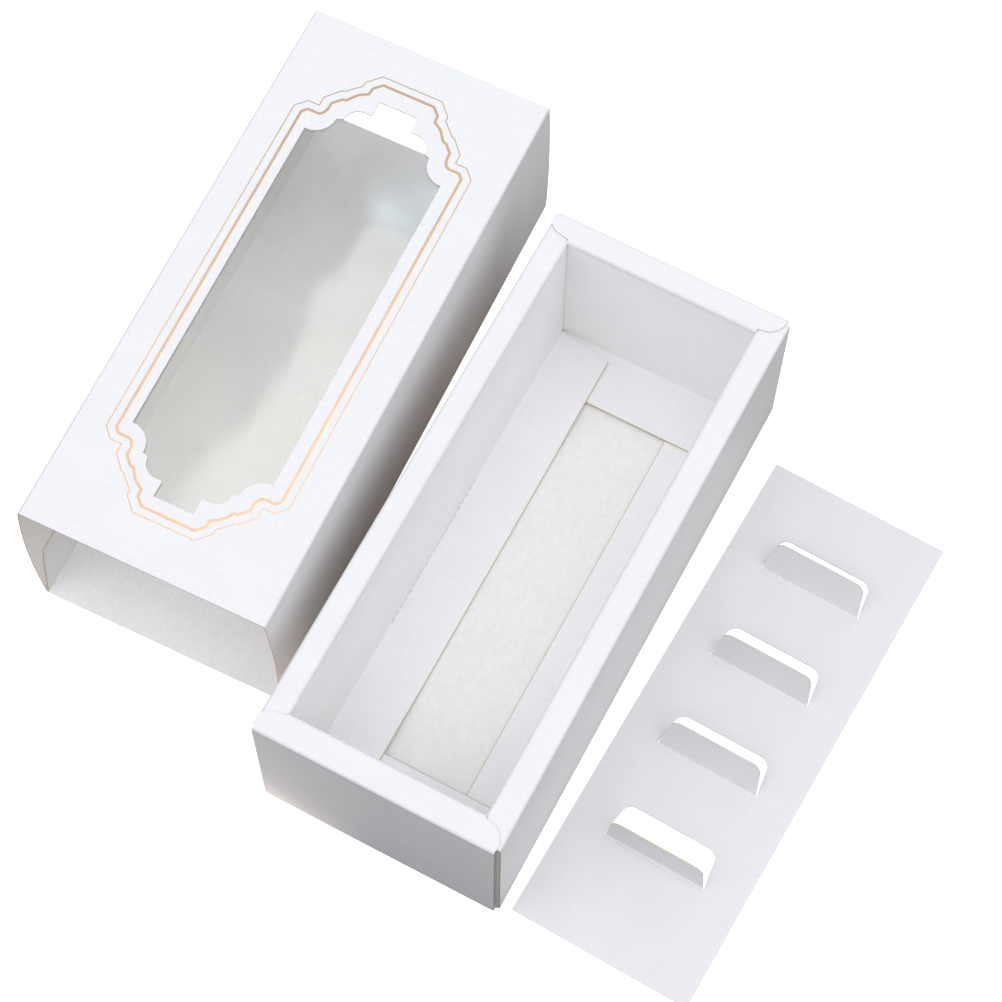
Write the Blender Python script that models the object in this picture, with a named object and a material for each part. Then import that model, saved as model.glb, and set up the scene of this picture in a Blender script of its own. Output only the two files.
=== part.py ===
"""A drawer box for macarons, taken apart: a printed sleeve with a window, the clear
film behind the window, the folded tray, and the flat insert with four raised tabs.

The origin is the middle of the sleeve's underside. The sleeve's long axis is Y, its
window faces +Z, and the tray and the insert stand beside it on the +X side.
"""

from math import asin, atan2, cos, pi, radians, sin, sqrt, tan

import bmesh
import bpy
from mathutils import Matrix, Vector

# Card and film
CARD = 0.0004
FILM = 0.00015
GAP = 0.00025
BITE = 0.00012

# Sleeve: a tube that is open at both ends, glued along its lower left edge
SLEEVE_LENGTH = 0.165
SLEEVE_WIDTH = 0.07075
SLEEVE_HEIGHT = 0.0554
SLEEVE_FOLD = 0.0009
SEAM_FOLD = 0.00018
BOW_LEFT = (0.0016, 0.0010)
BOW_RIGHT = (0.0012, 0.0005)
GLUE_FLAP_HEIGHT = 0.0185
GLUE_FLAP_SLANT = 0.0045

# Window, as the first quarter of its outline measured from its own middle
WINDOW_MIDDLE = (-0.0008, 0.0004)
WINDOW_HALF_WIDTH = 0.0203
WINDOW_SIDE_END = 0.0481
LOBE_MIDDLE = (0.0199, 0.0541)
LOBE_RADIUS = 0.0060
SHOULDER_MIDDLE = (0.0078, 0.0549)
SHOULDER_RADIUS = 0.0043
NECK_HALF_WIDTH = 0.0057
WINDOW_HALF_LENGTH = 0.0638
FILM_MARGIN = 0.0040

# Tray: one card folded into double walls, with floor flaps that lie on its base
TRAY_PLACE = (0.0816, -0.02672)
TRAY_YAW = radians(-2.232)
TRAY_LENGTH = 0.1635
TRAY_WIDTH = 0.06926
TRAY_HEIGHT = 0.0540
TRAY_FOLD = 0.0009
FLOOR_FOLD = 0.0005
CAVITY_LEFT = -0.0278
CAVITY_RIGHT = 0.0271
CAVITY_NEAR = -0.0737
CAVITY_FAR = 0.0744
SIDE_WALL_HALF = 0.0803
FLAP_LEFT_EDGE = -0.0119
FLAP_RIGHT_EDGE = 0.0125
FLAP_END_EDGE = 0.0577
FLAP_MITRE = 0.0025
FLAP_CLEAR = 0.0006
END_WALL_LEFT = -0.0343
END_WALL_RIGHT = 0.0334
RIM_LEFT = -0.0349
RIM_RIGHT = 0.0336
RIM_LEFT_ROUND = (0.0055, 0.0042)
RIM_RIGHT_ROUND = (0.0052, 0.0056)

# Insert: a flat card with four tabs that are bent up out of it, listed from the near end
INSERT_PLACE = (0.14707, -0.03651)
INSERT_YAW = radians(-4.332)
INSERT_LENGTH = 0.14543
INSERT_WIDTH = 0.05157
TAB_ROW_MIDDLE = (-0.0003, 0.0002)
TAB_PITCH = 0.0289
TAB_LENGTH = 0.0105
TAB_HALF_WIDTH = 0.0148
TAB_TAPER = 0.0015
TAB_CORNER = 0.0025
TAB_BENDS = (radians(84.6), radians(64.3), radians(68.0), radians(60.3))
TAB_FOLD = 0.0006
TAB_ROOT = 0.0012
SLOT_CUT = 0.0002

ARC_STEP = radians(22.5)


def clear_scene():
    for thing in list(bpy.data.objects):
        bpy.data.objects.remove(thing, do_unlink=True)


def principled(name, colour, roughness, alpha=1.0):
    material = bpy.data.materials.new(name)
    material.use_nodes = True
    shader = material.node_tree.nodes["Principled BSDF"]
    shader.inputs["Base Color"].default_value = (*colour, 1.0)
    shader.inputs["Roughness"].default_value = roughness
    shader.inputs["Metallic"].default_value = 0.0
    shader.inputs["Alpha"].default_value = alpha
    return material


def add_solid(name, points, faces, material=None):
    """One closed mesh object, with its faces turned outwards."""
    shape = bmesh.new()
    corners = [shape.verts.new(point) for point in points]
    for face in faces:
        shape.faces.new([corners[i] for i in face])
    bmesh.ops.recalc_face_normals(shape, faces=shape.faces)
    mesh = bpy.data.meshes.new(name)
    shape.to_mesh(mesh)
    shape.free()
    solid = bpy.data.objects.new(name, mesh)
    bpy.context.scene.collection.objects.link(solid)
    if material:
        mesh.materials.append(material)
    return solid


def add_prism(name, outline, low, high):
    """An outline in X and Y, raised from one height to another."""
    count = len(outline)
    points = [(x, y, z) for z in (low, high) for x, y in outline]
    faces = [tuple(range(count))[::-1], tuple(range(count, 2 * count))]
    faces += [(i, (i + 1) % count, count + (i + 1) % count, count + i) for i in range(count)]
    return add_solid(name, points, faces)


def combine(target, tool, operation):
    """A Boolean modifier whose tool is kept as a hidden guide."""
    tool.hide_render = True
    tool.display_type = "WIRE"
    tool.parent = target
    modifier = target.modifiers.new(f"{operation.lower()} {tool.name}", "BOOLEAN")
    modifier.operation = operation
    modifier.solver = "EXACT"
    modifier.object = tool


def arc(middle, radius, start, end, steps=None):
    """Points along an arc, both ends included; the angles are in radians."""
    steps = steps or max(1, round(abs(end - start) / ARC_STEP))
    angles = [start + (end - start) * i / steps for i in range(steps + 1)]
    return [(middle[0] + radius * cos(a), middle[1] + radius * sin(a)) for a in angles]


def rounded_path(corners, radii, splits):
    """An open line through the corners, each inner one turned on its radius.

    Gives (point, leg, in_turn) per station. A leg is the straight run after a corner,
    splits maps a leg to the number of its equal parts, and a turn's first and last
    points are stations of the legs that they touch.
    """
    turns = []
    for i, radius in enumerate(radii, start=1):
        before = (Vector(corners[i]) - Vector(corners[i - 1])).normalized()
        after = (Vector(corners[i + 1]) - Vector(corners[i])).normalized()
        bend = before.angle_signed(after)
        reach = radius * tan(abs(bend) / 2)
        steps = max(2, round(abs(bend) / ARC_STEP))
        start = Vector(corners[i]) - before * reach
        side = Vector((before.y, -before.x)) * (1 if bend > 0 else -1)
        middle = start + side * radius
        first = atan2(start.y - middle.y, start.x - middle.x)
        turns.append(arc(middle, radius, first, first - bend, steps))
    starts = [corners[0]] + [turn[-1] for turn in turns]
    ends = [turn[0] for turn in turns] + [corners[-1]]
    stations = []
    for leg, (start, end) in enumerate(zip(starts, ends)):
        parts = splits.get(leg, 1)
        for i in range(parts + 1):
            point = Vector(start).lerp(Vector(end), i / parts)
            stations.append((point, leg, False))
        if leg < len(turns):
            stations += [(Vector(point), leg, True) for point in turns[leg][1:-1]]
    return stations


def fold_sheet(name, points, ends, place, thickness=CARD, material=None):
    """A card of even thickness that follows a line; ends are its two sides per station."""
    normals = []
    for i, point in enumerate(points):
        near = points[max(i - 1, 0)]
        far = points[min(i + 1, len(points) - 1)]
        before = (point - near).normalized() if i else (far - point).normalized()
        after = (far - point).normalized() if i < len(points) - 1 else before
        across = (before + after).normalized()
        normal = Vector((-across.y, across.x))
        normals.append(normal / max(0.3, across.dot(before)))
    corners = []
    for point, normal, (low, high) in zip(points, normals, ends):
        for side in (-1, 1):
            edge = point + normal * side * thickness / 2
            corners += [place(edge.x, edge.y, low), place(edge.x, edge.y, high)]
    faces = [(0, 1, 3, 2)]
    for i in range(len(points) - 1):
        a, b = 4 * i, 4 * (i + 1)
        faces += [(a + p, a + q, b + q, b + p) for p, q in ((0, 1), (1, 3), (3, 2), (2, 0))]
    last = 4 * (len(points) - 1)
    faces.append((last, last + 2, last + 3, last + 1))
    return add_solid(name, corners, faces, material)


def window_outline():
    """The whole outline of the window, from its quarter."""
    lobe_start = LOBE_MIDDLE[0] - 0.0015
    drop = sqrt(LOBE_RADIUS**2 - 0.0015**2)
    lobe = arc(LOBE_MIDDLE, LOBE_RADIUS, pi + asin(drop / LOBE_RADIUS), pi - 0.02, 7)
    quarter = [(WINDOW_HALF_WIDTH, WINDOW_SIDE_END), (lobe_start, WINDOW_SIDE_END)]
    quarter += lobe
    quarter += arc(SHOULDER_MIDDLE, SHOULDER_RADIUS, 0, pi / 2, 6)
    shoulder_top = SHOULDER_MIDDLE[1] + SHOULDER_RADIUS
    quarter += [(NECK_HALF_WIDTH, shoulder_top), (NECK_HALF_WIDTH, WINDOW_HALF_LENGTH)]
    half = quarter + [(-x, y) for x, y in reversed(quarter)]
    whole = half + [(-x, -y) for x, y in half]
    return [(x + WINDOW_MIDDLE[0], y + WINDOW_MIDDLE[1]) for x, y in whole]


def bowed(side, z, bow):
    """How far out a side wall's face stands at a height."""
    share = min(max(z / SLEEVE_HEIGHT, 0.0), 1.0)
    return side * (SLEEVE_WIDTH / 2 + bow * 4 * share * (1 - share))


def tube_ring(inset, bows):
    """The sleeve's section, moved in by the card's thickness for its inner face."""
    left, right = bows
    high, low = SLEEVE_HEIGHT - inset, inset
    turn = SLEEVE_FOLD - inset
    seam = SEAM_FOLD if inset == 0 else SLEEVE_FOLD - inset
    half = SLEEVE_WIDTH / 2 - inset
    ring = arc((half - turn, low + turn), turn, -pi / 2, 0, 4)[:-1]
    for i in range(13):
        z = low + turn + (high - low - 2 * turn) * i / 12
        ring.append((bowed(1, z, right) - inset, z))
    ring += arc((half - turn, high - turn), turn, 0, pi / 2, 4)[1:]
    ring += arc((-half + turn, high - turn), turn, pi / 2, pi, 4)[:-1]
    for i in range(13):
        z = high - turn - (high - turn - low - seam) * i / 12
        ring.append((bowed(-1, z, left) + inset, z))
    ring += arc((-half + seam, low + seam), seam, pi, 3 * pi / 2, 4)[1:]
    return ring


def build_sleeve(material):
    rings = []
    for y, place in ((-SLEEVE_LENGTH / 2, 0), (SLEEVE_LENGTH / 2, 1)):
        for inset in (0.0, CARD):
            ring = tube_ring(inset, (BOW_LEFT[place], BOW_RIGHT[place]))
            rings.append([(x, y, z) for x, z in ring])
    count = len(rings[0])
    points = [point for ring in rings for point in ring]
    faces = []
    for i in range(count):
        j = (i + 1) % count
        for a, b in ((0, 1), (1, 3), (3, 2), (2, 0)):
            faces.append((a * count + i, a * count + j, b * count + j, b * count + i))
    sleeve = add_solid("sleeve", points, faces, material)

    outline = window_outline()
    top = SLEEVE_HEIGHT
    combine(sleeve, add_prism("window_cut", outline, top - 3 * CARD, top + CARD), "DIFFERENCE")
    combine(sleeve, glue_flap(), "UNION")
    combine(sleeve, seam_groove(), "DIFFERENCE")
    return sleeve


def glue_flap():
    """The bottom's glued flap inside the left wall, with both its ends cut slanting."""
    steps = 6
    columns = []
    for i in range(steps + 1):
        z = CARD / 2 + (GLUE_FLAP_HEIGHT - CARD / 2) * i / steps
        slant = BITE + GLUE_FLAP_SLANT * z / GLUE_FLAP_HEIGHT
        for end, bow in zip((-1, 1), BOW_LEFT):
            y = end * (SLEEVE_LENGTH / 2 - slant)
            face = bowed(-1, z, bow)
            columns += [(face + CARD - BITE, y, z), (face + 2 * CARD, y, z)]
    faces = [(0, 1, 3, 2)]
    for i in range(steps):
        a, b = 4 * i, 4 * (i + 1)
        faces += [(a + p, a + q, b + q, b + p) for p, q in ((0, 1), (1, 3), (3, 2), (2, 0))]
    last = 4 * steps
    faces.append((last, last + 2, last + 3, last + 1))
    return add_solid("glue_flap", columns, faces)


def seam_groove():
    """The small groove where the left wall's cut edge meets the bottom's fold."""
    inner = -SLEEVE_WIDTH / 2 + CARD
    section = [(inner - 0.00002, -0.0002), (inner + 0.0005, -0.0002), (inner + 0.00004, 0.00022)]
    reach = SLEEVE_LENGTH / 2 + CARD
    points = [(x, y, z) for y in (-reach, reach) for x, z in section]
    faces = [(0, 1, 2), (5, 4, 3), (0, 3, 4, 1), (1, 4, 5, 2), (2, 5, 3, 0)]
    return add_solid("seam_groove", points, faces)


def build_film(material):
    top = SLEEVE_HEIGHT - CARD - GAP
    half_x = WINDOW_HALF_WIDTH + FILM_MARGIN
    half_y = WINDOW_HALF_LENGTH + FILM_MARGIN
    x, y = WINDOW_MIDDLE
    corners = ((-1, -1), (1, -1), (1, 1), (-1, 1))
    outline = [(x + i * half_x, y + j * half_y) for i, j in corners]
    film = add_prism("window_film", outline, top - FILM, top)
    film.data.materials.append(material)
    return film


def layer(level):
    """Middle height of a card that lies in this layer on the tray's base."""
    return CARD / 2 + level * (CARD + GAP)


def side_sheet(material):
    """Base, both long walls and their floor flaps: one card, folded across X."""
    wall = TRAY_WIDTH / 2 - CARD / 2
    rim = TRAY_HEIGHT - CARD - GAP - CARD / 2
    left, right = CAVITY_LEFT - CARD / 2, CAVITY_RIGHT + CARD / 2
    corners = [
        (FLAP_LEFT_EDGE, layer(3)), (left, layer(3)), (left, rim), (-wall, rim), (-wall, layer(0)),
        (wall, layer(0)), (wall, rim), (right, rim), (right, layer(1)), (FLAP_RIGHT_EDGE, layer(1)),
    ]
    radii = [FLOOR_FOLD] + [TRAY_FOLD] * 6 + [FLOOR_FOLD]
    stations = rounded_path(corners, radii, {})
    base_half = TRAY_LENGTH / 2 - CARD / 2 - TRAY_FOLD
    flap_near, flap_far = CAVITY_NEAR + FLAP_CLEAR, CAVITY_FAR - FLAP_CLEAR
    ends = []
    for point, leg, in_turn in stations:
        is_flap = (leg == 0) or (leg == 8 and not in_turn)
        if is_flap or (leg == 7 and in_turn):
            free = point in (stations[0][0], stations[-1][0])
            mitre = FLAP_MITRE if free else 0.0
            ends.append((flap_near + mitre, flap_far - mitre))
        elif leg == 4 and not in_turn:
            ends.append((-base_half, base_half))
        else:
            ends.append((-SIDE_WALL_HALF, SIDE_WALL_HALF))
    return fold_sheet("tray", [s[0] for s in stations], ends, lambda u, v, w: (u, w, v), CARD, material)


def rim_reach(distance, corner, edge, rounding):
    """Where a rim's rounded end lies, at this distance from the rim's inner fold."""
    run, rise = rounding
    share = min(max(distance / rise, 0.0), 1.0)
    start = edge - run if edge > 0 else edge + run
    return start + (edge - start) * sqrt(1 - (1 - share) ** 2)


def end_sheet(name, sign):
    """An end wall with its rim and floor flap: sign is -1 at the near end, 1 at the far one."""
    wall = TRAY_LENGTH / 2 - CARD / 2
    fold = CAVITY_FAR if sign > 0 else -CAVITY_NEAR
    rim = TRAY_HEIGHT - CARD / 2
    inner = fold + CARD / 2
    corners = [
        (wall - 0.006, layer(0)), (wall, layer(0)), (wall, rim), (inner, rim), (inner, layer(2)),
        (FLAP_END_EDGE, layer(2)),
    ]
    radii = [TRAY_FOLD] * 3 + [FLOOR_FOLD]
    stations = rounded_path(corners, radii, {2: 9})
    inner_ends = (CAVITY_LEFT + GAP, CAVITY_RIGHT - GAP)
    ends = []
    for point, leg, in_turn in stations:
        if leg == 0 and not in_turn:
            base = TRAY_WIDTH / 2 - CARD / 2 - TRAY_FOLD
            ends.append((-base + 0.0006, base - 0.0006))
        elif leg < 2:
            ends.append((END_WALL_LEFT, END_WALL_RIGHT))
        elif leg == 2 and not in_turn:
            distance = point.x - inner - TRAY_FOLD
            ends.append((
                rim_reach(distance, inner, RIM_LEFT, RIM_LEFT_ROUND),
                rim_reach(distance, inner, RIM_RIGHT, RIM_RIGHT_ROUND),
            ))
        else:
            ends.append(inner_ends)
    return fold_sheet(name, [s[0] for s in stations], ends, lambda u, v, w: (w, sign * u, v))


def build_tray(material):
    tray = side_sheet(material)
    combine(tray, end_sheet("near_end", -1), "UNION")
    combine(tray, end_sheet("far_end", 1), "UNION")
    tray.matrix_world = Matrix.Translation((*TRAY_PLACE, 0)) @ Matrix.Rotation(TRAY_YAW, 4, "Z")
    return tray


def tab_outline():
    """Half widths of a tab from its fold to its tip, as (distance, half width)."""
    narrow = TAB_HALF_WIDTH - TAB_TAPER
    lean = TAB_TAPER / TAB_LENGTH
    outline = [(0.0, TAB_HALF_WIDTH)]
    for x, y in arc((narrow - TAB_CORNER, TAB_LENGTH - TAB_CORNER), TAB_CORNER, 0, pi / 2, 5):
        outline.append((y, x + lean * (TAB_LENGTH - y)))
    return outline


def half_width_at(distance):
    """A tab's half width at this distance from its fold."""
    outline = tab_outline()
    for (near, wide), (far, slim) in zip(outline, outline[1:]):
        if distance <= far:
            return wide + (slim - wide) * (distance - near) / max(far - near, 1e-9)
    return outline[-1][1]


def tab_line(bend):
    """A tab's middle line in Y and Z from its fold, and how far each point is along it."""
    steps = 4
    turn = TAB_FOLD * bend
    line = [(-TAB_ROOT, 0.0, 0.0), (0.0, 0.0, 0.0)]
    for i in range(1, steps + 1):
        angle = bend * i / steps
        line.append((TAB_FOLD * sin(angle), TAB_FOLD * (1 - cos(angle)), turn * i / steps))
    y, z, _ = line[-1]
    for distance, _ in tab_outline()[1:]:
        along = distance - turn
        line.append((y + along * cos(bend), z + along * sin(bend), distance))
    return line


def add_tab(name, fold_y, bend):
    line = tab_line(bend)
    halves = [half_width_at(along) - SLOT_CUT for _, _, along in line]
    points = [Vector((fold_y + y, z)) for y, z, _ in line]
    ends = [(TAB_ROW_MIDDLE[0] - half, TAB_ROW_MIDDLE[0] + half) for half in halves]
    return fold_sheet(name, points, ends, lambda u, v, w: (w, u, v))


def add_slot(name, fold_y):
    """The hole that a tab leaves, which starts just past its fold."""
    side = [(half, fold_y + distance) for distance, half in tab_outline()]
    side[0] = (side[0][0], fold_y + SLOT_CUT)
    outline = side + [(-x, y) for x, y in reversed(side)]
    outline = [(x + TAB_ROW_MIDDLE[0], y) for x, y in outline]
    return add_prism(name, outline, -CARD, CARD)


def build_insert(material):
    half_x, half_y = INSERT_WIDTH / 2, INSERT_LENGTH / 2
    outline = [(-half_x, -half_y), (half_x, -half_y), (half_x, half_y), (-half_x, half_y)]
    insert = add_prism("insert", outline, -CARD / 2, CARD / 2)
    insert.data.materials.append(material)
    middle = (len(TAB_BENDS) - 1) / 2
    folds = [(i - middle) * TAB_PITCH + TAB_ROW_MIDDLE[1] for i in range(len(TAB_BENDS))]
    for i, fold_y in enumerate(folds, start=1):
        combine(insert, add_slot(f"slot_{i}", fold_y), "DIFFERENCE")
    for i, (fold_y, bend) in enumerate(zip(folds, TAB_BENDS), start=1):
        combine(insert, add_tab(f"tab_{i}", fold_y, bend), "UNION")
    place = Matrix.Translation((*INSERT_PLACE, CARD / 2))
    insert.matrix_world = place @ Matrix.Rotation(INSERT_YAW, 4, "Z")
    return insert


def main():
    clear_scene()
    sleeve_card = principled("sleeve_card", (0.86, 0.88, 0.93), 0.55)
    tray_card = principled("tray_card", (0.84, 0.86, 0.91), 0.55)
    insert_card = principled("insert_card", (0.80, 0.81, 0.84), 0.60)
    clear_film = principled("clear_film", (0.95, 0.97, 0.98), 0.08, alpha=0.15)
    build_sleeve(sleeve_card)
    build_film(clear_film)
    build_tray(tray_card)
    build_insert(insert_card)


main()
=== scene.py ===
"""The looks of a macaron drawer box: card, foil, film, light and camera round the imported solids."""

from math import asin, atan2, cos, pi, radians, sin, sqrt, tan

import bmesh
import bpy
from mathutils import Matrix, Vector, noise


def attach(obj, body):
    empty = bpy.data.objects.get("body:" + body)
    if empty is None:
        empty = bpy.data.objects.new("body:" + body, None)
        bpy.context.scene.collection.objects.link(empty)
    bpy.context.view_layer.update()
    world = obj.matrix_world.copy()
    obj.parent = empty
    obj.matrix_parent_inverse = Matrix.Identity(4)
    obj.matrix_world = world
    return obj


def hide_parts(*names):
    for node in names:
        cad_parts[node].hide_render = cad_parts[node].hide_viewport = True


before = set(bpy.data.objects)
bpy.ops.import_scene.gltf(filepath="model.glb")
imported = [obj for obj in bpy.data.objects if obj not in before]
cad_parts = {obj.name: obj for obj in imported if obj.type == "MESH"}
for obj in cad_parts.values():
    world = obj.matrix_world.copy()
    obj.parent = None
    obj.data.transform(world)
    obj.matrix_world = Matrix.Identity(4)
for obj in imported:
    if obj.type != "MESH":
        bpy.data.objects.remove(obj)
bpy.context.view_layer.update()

# Card: its thickness, the gaps between cards, and how far joined cards reach into each other
CARD = 0.0004
LAYER_GAP = 0.0001
RIM_GAP = 0.00004
CORNER_GAP = 0.00006
CORNER_BITE = 0.0004
BITE = 0.00012
RAW_EDGE = 0.00022

# Sleeve
SLEEVE_LENGTH = 0.165
SLEEVE_WIDTH = 0.07075
SLEEVE_HEIGHT = 0.0554
SLEEVE_FOLD = 0.0009
SEAM_FOLD = 0.00018
BOW_LEFT = (0.0016, 0.0010)
BOW_RIGHT = (0.0012, 0.0005)
GLUE_FLAP_HEIGHT = 0.0185
GLUE_FLAP_SLANT = 0.0045
GLUE_FLAP_PARTS = 12
WALL_PARTS = 24
LENGTH_PARTS = 2

# Window
WINDOW_MIDDLE = (-0.0008, 0.0004)
WINDOW_HALF_WIDTH = 0.0203
WINDOW_SIDE_END = 0.0481
LOBE_MIDDLE = (0.0199, 0.0541)
LOBE_RADIUS = 0.0060
LOBE_REACH = 0.0015
LOBE_END = pi - 0.02
LOBE_PARTS = 14
SHOULDER_MIDDLE = (0.0078, 0.0549)
SHOULDER_RADIUS = 0.0043
SHOULDER_PARTS = 12
NECK_HALF_WIDTH = 0.0057
WINDOW_HALF_LENGTH = 0.0638

# Film behind the window, and its folds as (width, lean, length, place in the noise)
FILM = 0.00015
FILM_GAP = 0.00025
FILM_MARGIN = 0.0040
FILM_COLUMNS, FILM_ROWS = 40, 110
FILM_WAVE = 0.00018
LONG_FOLDS = (0.030, 0.080, 0.034, 3.7)
SMALL_FOLDS = (0.014, 0.030, 0.016, 8.1)
SMALL_FOLD_SHARE = 0.1

# Foil frame round the window
FOIL_MIDDLE = (-0.00035, 0.00105)
FOIL_HEIGHT = 0.00002
FOIL_SINK = 0.00001
THICK_FOIL = 0.00078
THIN_FOIL = 0.00030
# A smaller bend stays unrounded, and a turn takes up at most this share of its shorter leg
STRAIGHT_ANGLE = 0.02
LEG_SHARE = 0.45
# Quarters of the two lines, from the frame's own middle: (x, y, radius of the turn)
THICK_QUARTER = (
    (0.02385, 0.05155, 0.0008), (0.02260, 0.05290, 0.0006), (0.01880, 0.05290, 0.0014),
    (0.01775, 0.05490, 0.0020), (0.01770, 0.05730, 0.0012), (0.01540, 0.05960, 0.0005),
    (0.01450, 0.05970, 0.0004), (0.01230, 0.06270, 0.0050), (0.00985, 0.06410, 0.0003),
    (0.00970, 0.06615, 0.0006), (0.00760, 0.06822, 0.0004),
)
THIN_QUARTER = (
    (0.02640, 0.05230, 0.0003), (0.02375, 0.05522, 0.0003), (0.02035, 0.05525, 0.0001),
    (0.02035, 0.05800, 0.0003), (0.01685, 0.06190, 0.0003), (0.01610, 0.06205, 0.0003),
    (0.01235, 0.06565, 0.0001), (0.01230, 0.06705, 0.0002), (0.00885, 0.07060, 0.0003),
)

# Tray
TRAY_PLACE = (0.0816, -0.02672)
TRAY_YAW = radians(-2.232)
TRAY_LENGTH = 0.1635
TRAY_WIDTH = 0.06926
TRAY_HEIGHT = 0.0540
TRAY_FOLD = 0.0009
FLOOR_FOLD = 0.0005
CAVITY_LEFT = -0.0278
CAVITY_RIGHT = 0.0271
CAVITY_NEAR = -0.0737
CAVITY_FAR = 0.0744
SIDE_WALL_HALF = 0.0803
FLAP_LEFT_EDGE = -0.0119
FLAP_RIGHT_EDGE = 0.0125
FLAP_END_EDGE = 0.0577
FLAP_MITRE = 0.0025
FLAP_CLEAR = 0.0006
FLAP_SAG = 0.00095
FLAP_SAG_START = 0.50
FLAP_SAG_END = 0.77
END_WALL_LEFT = -0.0343
END_WALL_RIGHT = 0.0334
RIM_LEFT = -0.0349
RIM_RIGHT = 0.0336
RIM_LEFT_ROUND = (0.0055, 0.0042)
RIM_RIGHT_ROUND = (0.0052, 0.0056)
RIM_PARTS = 16
BASE_REACH = 0.006
BASE_CLEAR = 0.0006
SIDE_COLUMNS = 36
END_COLUMNS = 12
CORNER_TAB = 0.0012
PERFORATION_START = -0.024
PERFORATION_END = 0.022
PERFORATION_PITCH = 0.0023
CUT_DEPTH = 0.0016
PERFORATION_CUT = (0.00014, 0.0013, CUT_DEPTH)
NICK_PLACE = -0.0473
NICK_CUT = (0.0007, 0.0005, CUT_DEPTH)

# Insert
INSERT_PLACE = (0.14707, -0.03651)
INSERT_YAW = radians(-4.332)
INSERT_LENGTH = 0.14543
INSERT_WIDTH = 0.05157
TAB_ROW_MIDDLE = (-0.0003, 0.0002)
TAB_PITCH = 0.0289
TAB_LENGTH = 0.0105
TAB_HALF_WIDTH = 0.0148
TAB_TAPER = 0.0015
TAB_CORNER = 0.0025
TAB_BENDS = (radians(84.6), radians(64.3), radians(68.0), radians(60.3))
TAB_FOLD = 0.0006
TAB_ROOT = 0.0012
TAB_CORNER_PARTS = 10
TAB_FOLD_PARTS = 8
TAB_COLUMNS = 4
SLOT_CUT = 0.0002
BEAD_WIDTH = 0.0009
BEAD_HEIGHT = 0.00016
BEAD_FROM_FOLD = 0.0009
BEAD_INSET = 0.0003
BEAD_SINK = 0.00002
BEAD_PARTS = 8

# Colours
SLEEVE_WHITE = (0.865, 0.855, 0.84)
TRAY_WHITE = (0.935, 0.922, 0.91)
INSERT_WHITE = (0.775, 0.762, 0.752)
PLAIN_BACK = (0.94, 0.92, 0.895)
CUT_EDGE = (0.70, 0.59, 0.42)
FOIL_COLOUR = (0.65, 0.44, 0.29)
FILM_TINT = (0.940, 0.942, 0.934)
FILM_HAZE = (0.93, 0.95, 0.95)

# Grain and gloss: scales count features in a metre, and pairs are a range
NOISE_LOW, NOISE_HIGH = 0.3, 0.7
CLOUD_SCALE = 90
CLOUD_DARK = 0.985
FIBRE_SCALE = 1500
FIBRE_STRETCH = (1.0, 0.45, 1.0)
FIBRE_DARK = 0.035
FIBRE_BUMP = 0.5
FIBRE_DEPTH = 0.00004
ROUGHNESS_RANGE = (-0.05, 0.07)
# Painted shade on the tray's rims: how much darker their colour is, and the height band where it blends in
RIM_PAINTED_SHADE = 0.92
RIM_SHADE_BLEND = (0.492, 0.500)
EDGE_ROUGHNESS = 0.85
EDGE_SCALE = 1400
EDGE_DARK = 0.88
EDGE_BUMP_SCALE = 4000
EDGE_BUMP = 0.6
FOIL_SCALE = 260
FOIL_WORN = 0.93
FOIL_ROUGHNESS = (0.23, 0.28)
FOIL_BUMP = 0.15
FOIL_DEPTH = 0.00001
FILM_ROUGHNESS = 0.04
FILM_GLOSS = 0.055
FILM_SLANT_POWER = 5.0
HAZE_ROUGHNESS = 0.6
HAZE_SCALE = 60
HAZE_SHARE = (0.01, 0.05)

# Camera, fitted to the photo; the focal length is in pixels of the image
CAMERA_PLACE = (0.19700, -0.28963, 0.75013)
CAMERA_FORWARD = (-0.1642, 0.3499, -0.9223)
CAMERA_RIGHT = (0.9002, 0.4354, 0.0050)
FOCAL_PIXELS = 2971.9
IMAGE_SIDE = 1002
SENSOR = 36.0
CLIP = (0.01, 10.0)

# Lobes of light: azimuth from +X, elevation, colour
LOBE_POWER = 6
LOW, MIDDLE, ZENITH = radians(15), radians(45), radians(90)
LIGHTS = (
    (radians(90), LOW, (1.56, 1.62, 1.74)),
    (0.0, MIDDLE, (1.30, 1.34, 1.44)),
    (radians(225), MIDDLE, (1.81, 1.87, 2.02)),
    (radians(315), MIDDLE, (0.72, 0.72, 0.77)),
    (0.0, ZENITH, (0.94, 0.97, 1.03)),
)
# A softbox that the film mirrors: what its two edges face, how soft they are, and its own lobe
SOFTBOX_EDGES = ((0.9598, -0.0449, 0.2770), (0.1291, -0.8888, 0.4397))
SOFTBOX_BLUR = 0.003
SOFTBOX_MIDDLE = (-0.2056, 0.3574, 0.9111)
SOFTBOX_POWER = 110
SOFTBOX_COLOUR = (2.0, 2.0, 1.92)
# A halo and a glint that the film mirrors: direction, power of the lobe, colour
GLINTS = (
    ((-0.2699, 0.3066, 0.9128), 300, (1.7, 1.65, 1.5)),
    ((-0.2271, 0.4171, 0.8800), 9000, (2.6, 3.6, 4.0)),
)

# Floor that is seen, and the floor under it that gives the bounced light
FLOOR_HALF = 3.0
FLOOR_DROP = 0.00002
BOUNCE_DROP = 0.00006
FLOOR_WHITE = (0.9, 0.9, 0.9)
FLOOR_ROUGHNESS = 0.9
FLOOR_BOUNCE = (0.26, 0.22, 0.185)
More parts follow.
